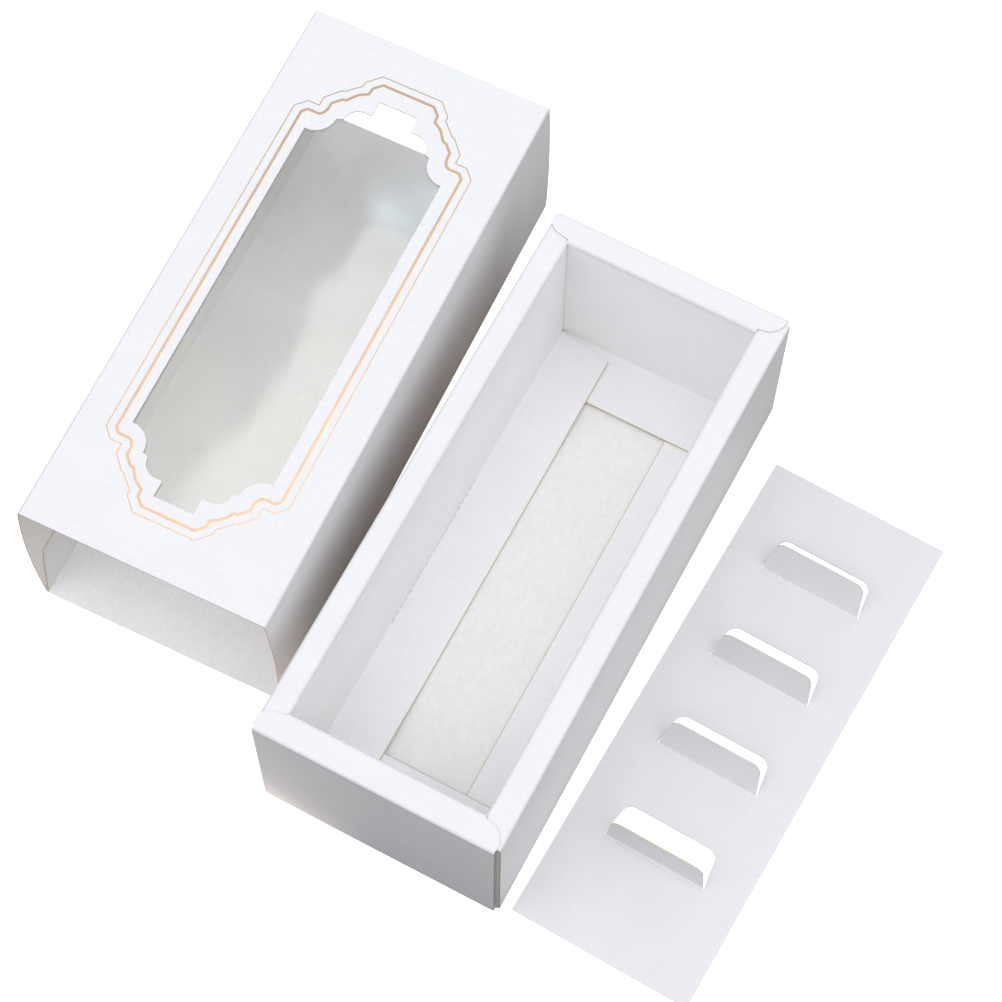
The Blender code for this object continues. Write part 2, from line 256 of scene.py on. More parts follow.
# Painted pools of light and a painted shadow on the bouncing floor: middle, distances where they start and
# stop to fade, colour; the warm ones are painted pools of light before the sleeve and in the gap, the
# near-black one is a painted shadow before the tray
FLOOR_PAINTED_LIGHT_AND_SHADOW = (
    ((0.030, -0.108, 0.0), (0.035, 0.060), (0.92, 0.80, 0.68)),
    ((0.042, -0.050, 0.0), (0.030, 0.045), (0.72, 0.51, 0.37)),
    ((0.047, 0.005, 0.0), (0.030, 0.045), (0.72, 0.51, 0.37)),
    ((0.085, -0.168, 0.0), (0.060, 0.100), (0.02, 0.02, 0.02)),
)
# Warm light from the floor at the near end of the gap, given in the same way
GAP_GLOW = ((0.043, -0.098, 0.0), (0.008, 0.034), (1.0, 0.86, 0.77))

# How finely arcs, fold turns and straight legs are divided, and where shading turns sharp
ARC_STEP = radians(11.25)
TURN_PARTS = 8
LONG_LEG = 0.005
SMOOTH_ANGLE = radians(35)
# A corner's normals are stretched to meet its two sides, but not past this
LEAST_COSINE = 0.3
LEAST_FOIL_COSINE = 0.4

PURE_WHITE = (1.0, 1.0, 1.0)
BLACK = (0.0, 0.0, 0.0)

# Which faces of a card: the coated front, the plain back, the cut edge
FRONT, BACK, EDGE = 0, 1, 2


# Meshes

def card_object(name, points, faces, marks, materials):
    """One closed mesh with a material index per face."""
    shape = bmesh.new()
    corners = [shape.verts.new(point) for point in points]
    for face, mark in zip(faces, marks):
        shape.faces.new([corners[i] for i in face]).material_index = mark
    bmesh.ops.recalc_face_normals(shape, faces=shape.faces)
    mesh = bpy.data.meshes.new(name)
    shape.to_mesh(mesh)
    shape.free()
    made = bpy.data.objects.new(name, mesh)
    bpy.context.scene.collection.objects.link(made)
    for each in materials:
        mesh.materials.append(each)
    return made


def ring_faces(count):
    """The side faces between two rings of this many points, one right after the other."""
    return [(i, (i + 1) % count, count + (i + 1) % count, count + i) for i in range(count)]


def section_faces(a, b):
    """The four faces between two sections of four points, which start at these numbers."""
    return [(a + p, a + q, b + q, b + p) for p, q in ((0, 1), (1, 3), (3, 2), (2, 0))]


def prism(name, outline, low, high, materials, side=EDGE, top=FRONT, bottom=BACK):
    """An outline in X and Y, raised from one height to another."""
    count = len(outline)
    points = [(x, y, z) for z in (low, high) for x, y in outline]
    faces = [tuple(range(count))[::-1], tuple(range(count, 2 * count))]
    faces += ring_faces(count)
    return card_object(name, points, faces, [bottom, top] + [side] * count, materials)


def combine(target, tools):
    """Applies Booleans, each given as (operation, tool), and takes the tools away."""
    for operation, tool in tools:
        modifier = target.modifiers.new(operation, "BOOLEAN")
        modifier.operation = operation
        modifier.solver = "EXACT"
        modifier.material_mode = "TRANSFER"
        modifier.object = tool
    graph = bpy.context.evaluated_depsgraph_get()
    mesh = bpy.data.meshes.new_from_object(target.evaluated_get(graph))
    target.modifiers.clear()
    target.data = mesh
    for _, tool in tools:
        bpy.data.objects.remove(tool)


def soften(piece):
    """Smooth folds between flat panels, with sharp cut edges."""
    piece.data.shade_smooth()
    piece.data.set_sharp_from_angle(angle=SMOOTH_ANGLE)
    modifier = piece.modifiers.new("flat panels", "WEIGHTED_NORMAL")
    modifier.keep_sharp = True
    modifier.weight = 100


def arc(middle, radius, start, end, steps=None):
    """Points along an arc, both ends included; the angles are in radians."""
    steps = steps or max(1, round(abs(end - start) / ARC_STEP))
    angles = [start + (end - start) * i / steps for i in range(steps + 1)]
    return [(middle[0] + radius * cos(a), middle[1] + radius * sin(a)) for a in angles]


def rounded_path(corners, radii, least_parts=None):
    """An open line through the corners, each inner one turned on its radius.

    Gives (point, leg, in_turn, share of the leg) per station.
    least_parts holds the least number of parts for a leg that needs more than its length gives.
    """
    least_parts = least_parts or {}
    turns = []
    for i, radius in enumerate(radii, start=1):
        before = (Vector(corners[i]) - Vector(corners[i - 1])).normalized()
        after = (Vector(corners[i + 1]) - Vector(corners[i])).normalized()
        bend = before.angle_signed(after)
        start = Vector(corners[i]) - before * radius * tan(abs(bend) / 2)
        side = Vector((before.y, -before.x)) * (1 if bend > 0 else -1)
        middle = start + side * radius
        first = atan2(start.y - middle.y, start.x - middle.x)
        turns.append(arc(middle, radius, first, first - bend))
    starts = [corners[0]] + [turn[-1] for turn in turns]
    ends = [turn[0] for turn in turns] + [corners[-1]]
    stations = []
    for leg, (start, end) in enumerate(zip(starts, ends)):
        start, end = Vector(start), Vector(end)
        parts = max(least_parts.get(leg, 1), round((end - start).length / LONG_LEG))
        for i in range(parts + 1):
            stations.append((start.lerp(end, i / parts), leg, False, i / parts))
        if leg < len(turns):
            stations += [(Vector(point), leg, True, 0.0) for point in turns[leg][1:-1]]
    return stations


def with_raw_edges(stations, at_start):
    """Adds a station close to the free edges of a path, so that their raw strip has its own faces."""
    whole = list(stations)
    for edge, inner, spot in ((-1, -2, len(whole) - 1), (0, 1, 1)):
        if edge == 0 and not at_start:
            continue
        (end, leg, _, share), (before, _, _, other) = whole[edge], whole[inner]
        part = RAW_EDGE / (end - before).length
        whole.insert(spot, (end.lerp(before, part), leg, False, share + (other - share) * part))
    return whole


def folded_card(name, points, ends, place, materials, columns=1, wave=None, raw=()):
    """A card of even thickness along a line; ends are its two sides per station.

    wave gives how far the card stands off its line at (station, share across it).
    raw lists the segments of the line whose faces show the cut edge.
    """
    normals = []
    for i, point in enumerate(points):
        near = points[max(i - 1, 0)]
        far = points[min(i + 1, len(points) - 1)]
        before = (point - near).normalized() if i else (far - point).normalized()
        after = (far - point).normalized() if i < len(points) - 1 else before
        across = (before + after).normalized()
        normal = Vector((-across.y, across.x))
        normals.append(normal / max(LEAST_COSINE, across.dot(before)))
    row = columns + 1
    corners = []
    for i, (point, normal, (low, high)) in enumerate(zip(points, normals, ends)):
        for side in (-1, 1):
            for c in range(row):
                off = wave(i, c / columns) if wave else 0.0
                edge = point + normal * (side * CARD / 2 + off)
                corners.append(place(edge.x, edge.y, low + (high - low) * c / columns))
    faces, marks = [], []
    for i in range(len(points) - 1):
        for side, mark in ((0, FRONT), (1, BACK)):
            a, b = (2 * i + side) * row, (2 * i + 2 + side) * row
            faces += [(a + c, a + c + 1, b + c + 1, b + c) for c in range(columns)]
            marks += [EDGE if i in raw else mark] * columns
        a, b = 2 * i * row, (2 * i + 2) * row
        for c in (0, columns):
            faces.append((a + c, b + c, b + row + c, a + row + c))
            marks.append(EDGE)
    for i in (0, len(points) - 1):
        a = 2 * i * row
        faces += [(a + c, a + c + 1, a + row + c + 1, a + row + c) for c in range(columns)]
        marks += [EDGE] * columns
    return card_object(name, corners, faces, marks, materials)


# Materials

def material(name, colour, roughness):
    made = bpy.data.materials.new(name)
    made.use_nodes = True
    shader = made.node_tree.nodes["Principled BSDF"]
    shader.inputs["Base Color"].default_value = (*colour, 1.0)
    shader.inputs["Roughness"].default_value = roughness
    return made, made.node_tree, shader


def noise_at(tree, scale, detail=2.0, stretch=(1.0, 1.0, 1.0)):
    """A noise in the piece's own coordinates; the scale counts features in a metre."""
    place = tree.nodes.new("ShaderNodeTexCoord")
    sized = tree.nodes.new("ShaderNodeMapping")
    sized.inputs["Scale"].default_value = stretch
    made = tree.nodes.new("ShaderNodeTexNoise")
    made.inputs["Scale"].default_value = scale
    made.inputs["Detail"].default_value = detail
    tree.links.new(place.outputs["Object"], sized.inputs["Vector"])
    tree.links.new(sized.outputs["Vector"], made.inputs["Vector"])
    return made.outputs["Fac"]


def ramp(tree, factor, low, high, start=NOISE_LOW, end=NOISE_HIGH):
    """A blend from one colour to another as the factor goes from start to end."""
    made = tree.nodes.new("ShaderNodeValToRGB")
    made.color_ramp.elements[0].position = start
    made.color_ramp.elements[1].position = end
    made.color_ramp.elements[0].color = (*low, 1.0)
    made.color_ramp.elements[1].color = (*high, 1.0)
    tree.links.new(factor, made.inputs["Fac"])
    return made.outputs["Color"]


def spread(tree, factor, low, high):
    """A number from low to high as a noise goes through its usual range."""
    made = tree.nodes.new("ShaderNodeMapRange")
    ends = {"From Min": NOISE_LOW, "From Max": NOISE_HIGH, "To Min": low, "To Max": high}
    for name, value in ends.items():
        made.inputs[name].default_value = value
    tree.links.new(factor, made.inputs["Value"])
    return made.outputs["Result"]


def number(tree, operation, value, other):
    """One step of arithmetic; the other number may be a constant or an output."""
    made = tree.nodes.new("ShaderNodeMath")
    made.operation = operation
    tree.links.new(value, made.inputs[0])
    if isinstance(other, (int, float)):
        made.inputs[1].default_value = other
    else:
        tree.links.new(other, made.inputs[1])
    return made.outputs[0]


def vector_step(tree, operation, value, other):
    """One step of vector arithmetic; the other vector may be a constant or an output."""
    made = tree.nodes.new("ShaderNodeVectorMath")
    made.operation = operation
    tree.links.new(value, made.inputs[0])
    if isinstance(other, tuple):
        made.inputs[1].default_value = other
    else:
        tree.links.new(other, made.inputs[1])
    return made


def multiplied(tree, colour, other):
    return vector_step(tree, "MULTIPLY", colour, other).outputs[0]


def relief(tree, shader, height, strength, depth):
    """Bumps that follow a noise, this many metres deep at full strength."""
    bump = tree.nodes.new("ShaderNodeBump")
    bump.inputs["Strength"].default_value = strength
    bump.inputs["Distance"].default_value = depth
    tree.links.new(height, bump.inputs["Height"])
    tree.links.new(bump.outputs["Normal"], shader.inputs["Normal"])


def card_material(name, colour, roughness, grain, rim_height=None):
    """Paper card: a fine fibre grain in its colour, its gloss and its relief.

    Above rim_height the card's colour is painted a little darker: painted shade that tones down the lit
    rims.
    """
    made, tree, shader = material(name, colour, roughness)
    cloud = noise_at(tree, CLOUD_SCALE, detail=0.0)
    fibre = noise_at(tree, FIBRE_SCALE, detail=0.0, stretch=FIBRE_STRETCH)
    clouded = ramp(tree, cloud, tuple(CLOUD_DARK * c for c in colour), colour)
    tint = multiplied(tree, clouded, ramp(tree, fibre, (1.0 - FIBRE_DARK * grain,) * 3, PURE_WHITE))
    # Painted shade: the card above rim_height is painted darker, standing in for less light on the rims
    if rim_height:
        # The ramp's middle stands for the rim's height
        place = tree.nodes.new("ShaderNodeTexCoord")
        split = tree.nodes.new("ShaderNodeSeparateXYZ")
        tree.links.new(place.outputs["Object"], split.inputs[0])
        height = number(tree, "DIVIDE", split.outputs["Z"], 2 * rim_height)
        tint = multiplied(tree, tint, ramp(tree, height, PURE_WHITE, (RIM_PAINTED_SHADE,) * 3, *RIM_SHADE_BLEND))
    tree.links.new(tint, shader.inputs["Base Color"])
    low, high = (roughness + off for off in ROUGHNESS_RANGE)
    tree.links.new(spread(tree, fibre, low, high), shader.inputs["Roughness"])
    relief(tree, shader, fibre, FIBRE_BUMP * grain, FIBRE_DEPTH)
    return made


def edge_material(name, colour):
    """The cut edge of a card: cream board with the layers of its fibre."""
    made, tree, shader = material(name, colour, EDGE_ROUGHNESS)
    layers = noise_at(tree, EDGE_SCALE, detail=3.0)
    dark = tuple(EDGE_DARK * c for c in colour)
    tree.links.new(ramp(tree, layers, dark, colour), shader.inputs["Base Color"])
    relief(tree, shader, noise_at(tree, EDGE_BUMP_SCALE, detail=3.0), EDGE_BUMP, FIBRE_DEPTH)
    return made


def foil_material():
    """Rose-gold foil, pressed so thinly that the card's grain shows in it."""
    made, tree, shader = material("rose_gold_foil", FOIL_COLOUR, FOIL_ROUGHNESS[0])
    shader.inputs["Metallic"].default_value = 1.0
    worn = tuple(FOIL_WORN * c for c in FOIL_COLOUR)
    patches = noise_at(tree, FOIL_SCALE)
    tree.links.new(ramp(tree, patches, worn, FOIL_COLOUR), shader.inputs["Base Color"])
    tree.links.new(spread(tree, patches, *FOIL_ROUGHNESS), shader.inputs["Roughness"])
    relief(tree, shader, noise_at(tree, FIBRE_SCALE, detail=1.0), FOIL_BUMP, FOIL_DEPTH)
    return made


def mixed_shader(tree, share, first, second):
    made = tree.nodes.new("ShaderNodeMixShader")
    for socket, source in zip(made.inputs, (share, first.outputs[0], second.outputs[0])):
        tree.links.new(source, socket)
    return made


def film_material():
    """Clear film: what is behind shows through a faint haze, with a mirror's gloss on top."""
    made, tree, haze = material("clear_film", FILM_HAZE, HAZE_ROUGHNESS)
    clear = tree.nodes.new("ShaderNodeBsdfTransparent")
    clear.inputs["Color"].default_value = (*FILM_TINT, 1.0)
    gloss = tree.nodes.new("ShaderNodeBsdfGlossy")
    gloss.inputs["Color"].default_value = (*PURE_WHITE, 1.0)
    gloss.inputs["Roughness"].default_value = FILM_ROUGHNESS
    hazy = mixed_shader(tree, spread(tree, noise_at(tree, HAZE_SCALE), *HAZE_SHARE), clear, haze)
    # Gloss by the slant of the film: at a blend of one half, Facing is one less the cosine
    glance = tree.nodes.new("ShaderNodeLayerWeight")
    glance.inputs["Blend"].default_value = 0.5
    steep = number(tree, "POWER", glance.outputs["Facing"], FILM_SLANT_POWER)
    share = number(tree, "ADD", number(tree, "MULTIPLY", steep, 1.0 - FILM_GLOSS), FILM_GLOSS)
    whole = mixed_shader(tree, share, hazy, gloss)
    tree.links.new(whole.outputs[0], tree.nodes["Material Output"].inputs["Surface"])
    return made


# Sleeve

def window_outline():
    """The whole outline of the window, from its quarter."""
    lobe_start = LOBE_MIDDLE[0] - LOBE_REACH
    drop = sqrt(LOBE_RADIUS**2 - LOBE_REACH**2)
    quarter = [(WINDOW_HALF_WIDTH, WINDOW_SIDE_END), (lobe_start, WINDOW_SIDE_END)]
    quarter += arc(LOBE_MIDDLE, LOBE_RADIUS, pi + asin(drop / LOBE_RADIUS), LOBE_END, LOBE_PARTS)
    quarter += arc(SHOULDER_MIDDLE, SHOULDER_RADIUS, 0, pi / 2, SHOULDER_PARTS)
    shoulder_top = SHOULDER_MIDDLE[1] + SHOULDER_RADIUS
    quarter += [(NECK_HALF_WIDTH, shoulder_top), (NECK_HALF_WIDTH, WINDOW_HALF_LENGTH)]
    half = quarter + [(-x, y) for x, y in reversed(quarter)]
    whole = half + [(-x, -y) for x, y in half]
    return [(x + WINDOW_MIDDLE[0], y + WINDOW_MIDDLE[1]) for x, y in whole]


def bowed(side, z, y):
    """How far out a side wall's face stands at a height and a place along the sleeve."""
    near, far = BOW_LEFT if side < 0 else BOW_RIGHT
    bow = near + (far - near) * (y / SLEEVE_LENGTH + 0.5)
    share = min(max(z / SLEEVE_HEIGHT, 0.0), 1.0)
    return side * (SLEEVE_WIDTH / 2 + bow * 4 * share * (1 - share))


def tube_ring(inset, y):
    """The sleeve's section, moved in by the card's thickness for its inner face."""
    high, low = SLEEVE_HEIGHT - FOIL_HEIGHT - inset, inset
    turn = SLEEVE_FOLD - inset
    seam = SEAM_FOLD if inset == 0 else SLEEVE_FOLD - inset
    half = SLEEVE_WIDTH / 2 - inset
    ring = arc((half - turn, low + turn), turn, -pi / 2, 0, TURN_PARTS)[:-1]
    for i in range(WALL_PARTS + 1):
        z = low + turn + (high - low - 2 * turn) * i / WALL_PARTS
        ring.append((bowed(1, z, y) - inset, z))
    ring += arc((half - turn, high - turn), turn, 0, pi / 2, TURN_PARTS)[1:]
    ring += arc((-half + turn, high - turn), turn, pi / 2, pi, TURN_PARTS)[:-1]
    for i in range(WALL_PARTS + 1):
        z = high - turn - (high - turn - low - seam) * i / WALL_PARTS
        ring.append((bowed(-1, z, y) + inset, z))
    ring += arc((-half + seam, low + seam), seam, pi, 3 * pi / 2, TURN_PARTS)[1:]
    return ring


def glue_flap(materials):
    """The bottom's glued flap inside the left wall, with both its ends cut slanting."""
    points = []
    for i in range(GLUE_FLAP_PARTS + 1):
        z = CARD / 2 + (GLUE_FLAP_HEIGHT - CARD / 2) * i / GLUE_FLAP_PARTS
        slant = BITE + GLUE_FLAP_SLANT * z / GLUE_FLAP_HEIGHT
        for end in (-1, 1):
            y = end * (SLEEVE_LENGTH / 2 - slant)
            face = bowed(-1, z, y)
            points += [(face + CARD - BITE, y, z), (face + 2 * CARD, y, z)]
    last = 4 * GLUE_FLAP_PARTS
    faces, marks = [(0, 1, 3, 2), (last, last + 2, last + 3, last + 1)], [EDGE, EDGE]
    for i in range(GLUE_FLAP_PARTS):
        faces += section_faces(4 * i, 4 * (i + 1))
        marks += [EDGE, FRONT, EDGE, FRONT]
    return card_object("glue_flap", points, faces, marks, materials)


def build_sleeve(materials):
    """The tube with its window cut out and its glued flap inside."""
    rings = []
    for i in range(LENGTH_PARTS + 1):
        y = SLEEVE_LENGTH * (i / LENGTH_PARTS - 0.5)
        for inset in (0.0, CARD):
            rings.append([(x, y, z) for x, z in tube_ring(inset, y)])
    count = len(rings[0])
    points = [point for ring in rings for point in ring]
    faces, marks = [], []
    for i in range(count):
        j = (i + 1) % count
        for n in range(LENGTH_PARTS):
            for side, mark in ((0, FRONT), (1, BACK)):
                a, b = (2 * n + side) * count, (2 * n + 2 + side) * count
                faces.append((a + i, a + j, b + j, b + i))
                marks.append(mark)
        for n in (0, LENGTH_PARTS):
            a = 2 * n * count
            faces.append((a + i, a + j, a + count + j, a + count + i))
            marks.append(EDGE)
    sleeve = card_object("sleeve_card", points, faces, marks, materials)
    top = SLEEVE_HEIGHT
    hole = prism("hole", window_outline(), top - 3 * CARD, top + CARD, materials)
    combine(sleeve, [("DIFFERENCE", hole), ("UNION", glue_flap(materials))])
    soften(sleeve)
    return sleeve


# Foil

def turned_corner(before, corner, after, radius):
    """The points of a corner that is turned on a radius, or less where its legs are short."""
    before, corner, after = Vector(before), Vector(corner), Vector(after)
    come, go = (corner - before).normalized(), (after - corner).normalized()
    bend = come.angle_signed(go)
    if abs(bend) < STRAIGHT_ANGLE:
        return [corner]
    room = LEG_SHARE * min((corner - before).length, (after - corner).length)
    radius = min(radius, room / tan(abs(bend) / 2))
    start = corner - come * radius * tan(abs(bend) / 2)
    middle = start + Vector((come.y, -come.x)) * (radius if bend > 0 else -radius)
    first = atan2(start.y - middle.y, start.x - middle.x)
    steps = max(2, round(abs(bend) / ARC_STEP))
    return [Vector(point) for point in arc(middle, radius, first, first - bend, steps)]


def whole_loop(quarter):
    """The closed line round the window, from one quarter of it."""
    half = list(quarter) + [(-x, y, radius) for x, y, radius in reversed(quarter)]
    corners = half + [(-x, -y, radius) for x, y, radius in half]
    line = []
    for i, (x, y, radius) in enumerate(corners):
        before, after = corners[i - 1][:2], corners[(i + 1) % len(corners)][:2]
        line += turned_corner(before, (x, y), after, radius)
    return [point + Vector(FOIL_MIDDLE) for point in line]


def build_foil(name, quarter, width, made):
    """A ribbon of foil that is pressed onto the sleeve's top."""
    line = whole_loop(quarter)
    count = len(line)
    low = SLEEVE_HEIGHT - FOIL_HEIGHT - FOIL_SINK
    points = []
    for i, point in enumerate(line):
        before = (point - line[i - 1]).normalized()
        after = (line[(i + 1) % count] - point).normalized()
        along = (before + after).normalized()
        side = Vector((-along.y, along.x)) * width / 2 / max(LEAST_FOIL_COSINE, along.dot(before))
        for edge in (point - side, point + side):
            points += [(edge.x, edge.y, low), (edge.x, edge.y, SLEEVE_HEIGHT)]
    faces = []
    for i in range(count):
        faces += section_faces(4 * i, 4 * ((i + 1) % count))
    foil = card_object(name, points, faces, [0] * len(faces), [made])
    soften(foil)
    return foil


# Tray

def layer(level):
    """Middle height of a card that lies in this layer on the tray's base."""
    return CARD / 2 + level * (CARD + LAYER_GAP)


def side_sheet(materials):
    """Base, both long walls and their floor flaps: one card, folded across X."""
    wall = TRAY_WIDTH / 2 - CARD / 2
    rim = TRAY_HEIGHT - CARD - RIM_GAP - CARD / 2
    left, right = CAVITY_LEFT - CARD / 2, CAVITY_RIGHT + CARD / 2
    corners = [
        (FLAP_LEFT_EDGE, layer(3)), (left, layer(3)), (left, rim), (-wall, rim), (-wall, layer(0)),
        (wall, layer(0)), (wall, rim), (right, rim), (right, layer(1)), (FLAP_RIGHT_EDGE, layer(1)),
    ]
    radii = [FLOOR_FOLD] + [TRAY_FOLD] * 6 + [FLOOR_FOLD]
    stations = with_raw_edges(rounded_path(corners, radii), True)
    base_half = TRAY_LENGTH / 2 - CARD / 2 - TRAY_FOLD
    flap_near, flap_far = CAVITY_NEAR + FLAP_CLEAR, CAVITY_FAR - FLAP_CLEAR
    ends = []
    for _, leg, in_turn, share in stations:
        is_flap = (leg == 0) or (leg == 8 and not in_turn)
        if is_flap or (leg == 7 and in_turn):
            out = 0.0 if in_turn else (1 - share if leg == 0 else share)
            mitre = FLAP_MITRE * out
            ends.append((flap_near + mitre, flap_far - mitre))
        elif leg == 4 and not in_turn:
            ends.append((-base_half, base_half))
        else:
            ends.append((-SIDE_WALL_HALF, SIDE_WALL_HALF))

    def sag(station, across):
        """The left flap rests on the base between the two end flaps that it covers."""
        _, leg, in_turn, share = stations[station]
        if leg > 0 or in_turn:
            return 0.0
        beside = (FLAP_SAG_END - abs(2 * across - 1)) / (FLAP_SAG_END - FLAP_SAG_START)
        beside = min(max(beside, 0.0), 1.0)
        return FLAP_SAG * (1 - share) * beside * beside * (3 - 2 * beside)

    return folded_card(
        "tray_card", [s[0] for s in stations], ends, lambda u, v, w: (u, w, v), materials,
        SIDE_COLUMNS, sag, (0, len(stations) - 2),
    )


def rim_reach(distance, edge, rounding):
    """Where a rim's rounded end lies, at this distance from the rim's inner fold."""
    run, rise = rounding
    share = min(max(distance / rise, 0.0), 1.0)
    start = edge - run if edge > 0 else edge + run
    return start + (edge - start) * sqrt(1 - (1 - share) ** 2)


def end_sheet(name, sign, materials):
    """An end wall with its rim and floor flap: sign is -1 at the near end, 1 at the far one."""
    wall = TRAY_LENGTH / 2 - CARD / 2
    fold = CAVITY_FAR if sign > 0 else -CAVITY_NEAR
    rim = TRAY_HEIGHT - CARD / 2
    inner = fold + CARD / 2
    corners = [
        (wall - BASE_REACH, layer(0)), (wall, layer(0)), (wall, rim), (inner, rim), (inner, layer(2)),
        (FLAP_END_EDGE, layer(2)),
    ]
    stations = rounded_path(corners, [TRAY_FOLD] * 3 + [FLOOR_FOLD], {2: RIM_PARTS})
    stations = with_raw_edges(stations, False)
    inner_ends = (CAVITY_LEFT + CORNER_GAP, CAVITY_RIGHT - CORNER_GAP)
    turn_ends = (CAVITY_LEFT - CORNER_BITE, CAVITY_RIGHT + CORNER_BITE)
    ends = []
    for point, leg, in_turn, _ in stations:
        if leg == 0 and not in_turn:
            base = TRAY_WIDTH / 2 - CARD / 2 - TRAY_FOLD - BASE_CLEAR
            ends.append((-base, base))
        elif leg < 2:
            ends.append((END_WALL_LEFT, END_WALL_RIGHT))
        elif leg == 2 and not in_turn:
            distance = point.x - inner - TRAY_FOLD
            ends.append((
                rim_reach(distance, RIM_LEFT, RIM_LEFT_ROUND),
                rim_reach(distance, RIM_RIGHT, RIM_RIGHT_ROUND),
            ))
        else:
            ends.append(turn_ends if leg == 2 else inner_ends)
    return folded_card(
        name, [s[0] for s in stations], ends, lambda u, v, w: (w, sign * u, v), materials,
        END_COLUMNS, raw=(len(stations) - 2,),
    )


def corner_tab(name, sign, materials):
    """The narrow tab of the right wall that shows in the slit beside an end wall."""
    x = (END_WALL_RIGHT - CORNER_TAB, TRAY_WIDTH / 2 - CARD + BITE)
    y = sorted((sign * SIDE_WALL_HALF, sign * (SIDE_WALL_HALF - CARD)))
    outline = [(x[0], y[0]), (x[1], y[0]), (x[1], y[1]), (x[0], y[1])]
    return prism(name, outline, 2 * CARD, TRAY_HEIGHT - 4 * CARD, materials, FRONT)


def boxes(name, middles, size, turn, materials):
    """Small blocks of one size, all turned alike about Y, as one cutting tool."""
    half = Vector(size) / 2
    signs = [(i, j, k) for k in (-1, 1) for j in (-1, 1) for i in (-1, 1)]
    block = ((0, 2, 3, 1), (4, 5, 7, 6), (0, 1, 5, 4), (2, 6, 7, 3), (0, 4, 6, 2), (1, 3, 7, 5))
    spin = Matrix.Rotation(turn, 3, "Y")
    points, faces = [], []
    for middle in middles:
        first = len(points)
        for sign in signs:
            corner = Vector(half[k] * sign[k] for k in range(3))
            points.append(tuple(Vector(middle) + spin @ corner))
        faces += [tuple(first + c for c in face) for face in block]
    return card_object(name, points, faces, [EDGE] * len(faces), materials)


def perforation(materials):
    """The row of short cuts that helps the left floor flap to fold."""
    fold = FLOOR_FOLD - FLOOR_FOLD * sin(pi / 4)
    x, z = CAVITY_LEFT + fold, layer(3) + fold
    count = round((PERFORATION_END - PERFORATION_START) / PERFORATION_PITCH)
    middles = [(x, PERFORATION_START + i * PERFORATION_PITCH, z) for i in range(count + 1)]
    return boxes("perforation", middles, PERFORATION_CUT, -pi / 4, materials)


def build_tray(materials):
    """The two end sheets and the corner tabs joined to the side sheet, then the small cuts."""
    tray = side_sheet(materials)
    near, far = end_sheet("near_end", -1, materials), end_sheet("far_end", 1, materials)
    nick = boxes("nick", [(FLAP_LEFT_EDGE, NICK_PLACE, layer(3))], NICK_CUT, 0, materials)
    cuts = [("DIFFERENCE", perforation(materials)), ("DIFFERENCE", nick)]
    tabs = [("UNION", corner_tab(f"corner_tab_{i}", sign, materials)) for i, sign in enumerate((-1, 1))]
    combine(tray, [("UNION", near), ("UNION", far)] + tabs + cuts)
    tray.matrix_world = Matrix.Translation((*TRAY_PLACE, 0)) @ Matrix.Rotation(TRAY_YAW, 4, "Z")
    soften(tray)
    return tray


# Insert

def tab_outline():
    """Half widths of a tab from its fold to its tip, as (distance, half width)."""
    narrow = TAB_HALF_WIDTH - TAB_TAPER
    lean = TAB_TAPER / TAB_LENGTH
    outline = [(0.0, TAB_HALF_WIDTH)]
    for x, y in arc((narrow - TAB_CORNER, TAB_LENGTH - TAB_CORNER), TAB_CORNER, 0, pi / 2, TAB_CORNER_PARTS):
        outline.append((y, x + lean * (TAB_LENGTH - y)))
    return outline


def half_width_at(distance):
    """A tab's half width at this distance from its fold."""
    outline = tab_outline()
    for (near, wide), (far, slim) in zip(outline, outline[1:]):
        if distance <= far:
            return wide + (slim - wide) * (distance - near) / max(far - near, 1e-9)
    return outline[-1][1]


def tab_line(bend):
    """A tab's middle line in Y and Z from its fold, and how far each point is along it."""
    turn = TAB_FOLD * bend
    line = [(-TAB_ROOT, 0.0, 0.0), (0.0, 0.0, 0.0)]
    for i in range(1, TAB_FOLD_PARTS + 1):
        share = i / TAB_FOLD_PARTS
        y, z = TAB_FOLD * sin(bend * share), TAB_FOLD * (1 - cos(bend * share))
        line.append((y, z, turn * share))
    for distance, _ in tab_outline()[1:]:
        along = distance - turn
        line.append((y + along * cos(bend), z + along * sin(bend), distance))
    return line


def make_tab(name, fold_y, bend, materials):
    """One raised tab, bent up at its fold."""
    line = tab_line(bend)
    halves = [half_width_at(along) - SLOT_CUT for _, _, along in line]
    points = [Vector((fold_y + y, z)) for y, z, _ in line]
    ends = [(TAB_ROW_MIDDLE[0] - half, TAB_ROW_MIDDLE[0] + half) for half in halves]
    # The line's left is the card's top, so front and back change places
    swapped = [materials[BACK], materials[FRONT], materials[EDGE]]
    return folded_card(name, points, ends, lambda u, v, w: (w, u, v), swapped, TAB_COLUMNS)


def make_slot(name, fold_y, materials):
    """The hole that a tab leaves, which starts just past its fold."""
    side = [(half, fold_y + distance) for distance, half in tab_outline()]
    side[0] = (side[0][0], fold_y + SLOT_CUT)
    outline = side + [(-x, y) for x, y in reversed(side)]
    outline = [(x + TAB_ROW_MIDDLE[0], y) for x, y in outline]
    return prism(name, outline, -CARD, CARD, materials)


def tab_folds():
    middle = (len(TAB_BENDS) - 1) / 2
    return [(i - middle) * TAB_PITCH + TAB_ROW_MIDDLE[1] for i in range(len(TAB_BENDS))]


